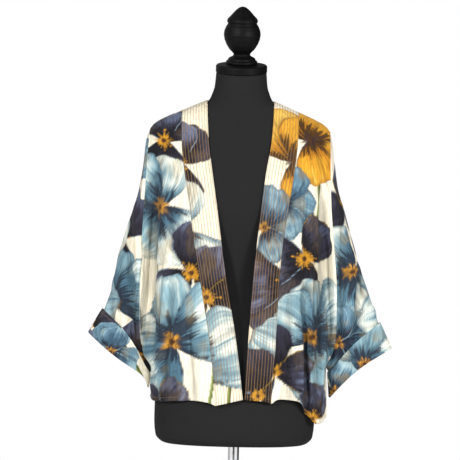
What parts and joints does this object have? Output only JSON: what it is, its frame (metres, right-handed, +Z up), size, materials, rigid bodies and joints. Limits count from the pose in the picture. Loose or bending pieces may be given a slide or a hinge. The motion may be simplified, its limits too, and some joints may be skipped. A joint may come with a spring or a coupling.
{
  "type": "short kimono worn on a limbless dress form with its stand",
  "caption": "Short open kimono with wide sleeves, turned-back cuffs and stitched front bands, worn on a limbless black dress form that stands on a chrome pole and a round base.",
  "frame": {"origin": "Middle of the base's underside, on the pole's axis, at the level of the floor.", "axes": "The front of the garment faces -Y, +Z is up along the pole, and the wearer's left is at +X."},
  "size_m": [0.6681, 0.3, 1.2338],
  "materials": {
    "cloth_body": "light crinkled semi-sheer weave, cream with large printed flowers in slate blue, ink and ochre",
    "cloth_sleeve": "light crinkled semi-sheer weave, cream with large printed flowers in slate blue and ink",
    "cloth_cuff": "the same cloth doubled and turned back",
    "cloth_band": "the same cloth doubled, with close parallel rows of tan stitching",
    "form_jersey": "matt black jersey drawn tight over the form",
    "form_lacquer": "satin black lacquer",
    "pole_chrome": "polished chrome",
    "base_black": "satin black paint"
  },
  "bodies": {
    "root": {"right_front": "cloth_body", "left_front": "cloth_body", "back": "cloth_body", "right_sleeve": "cloth_sleeve", "left_sleeve": "cloth_sleeve", "right_cuff": "cloth_cuff", "left_cuff": "cloth_cuff", "right_band": "cloth_band", "left_band": "cloth_band", "neck_band": "cloth_band", "form_body": "form_jersey", "neck_cap": "form_lacquer", "finial": "form_lacquer", "pole": "pole_chrome", "base": "base_black"}
  },
  "joints": []
}
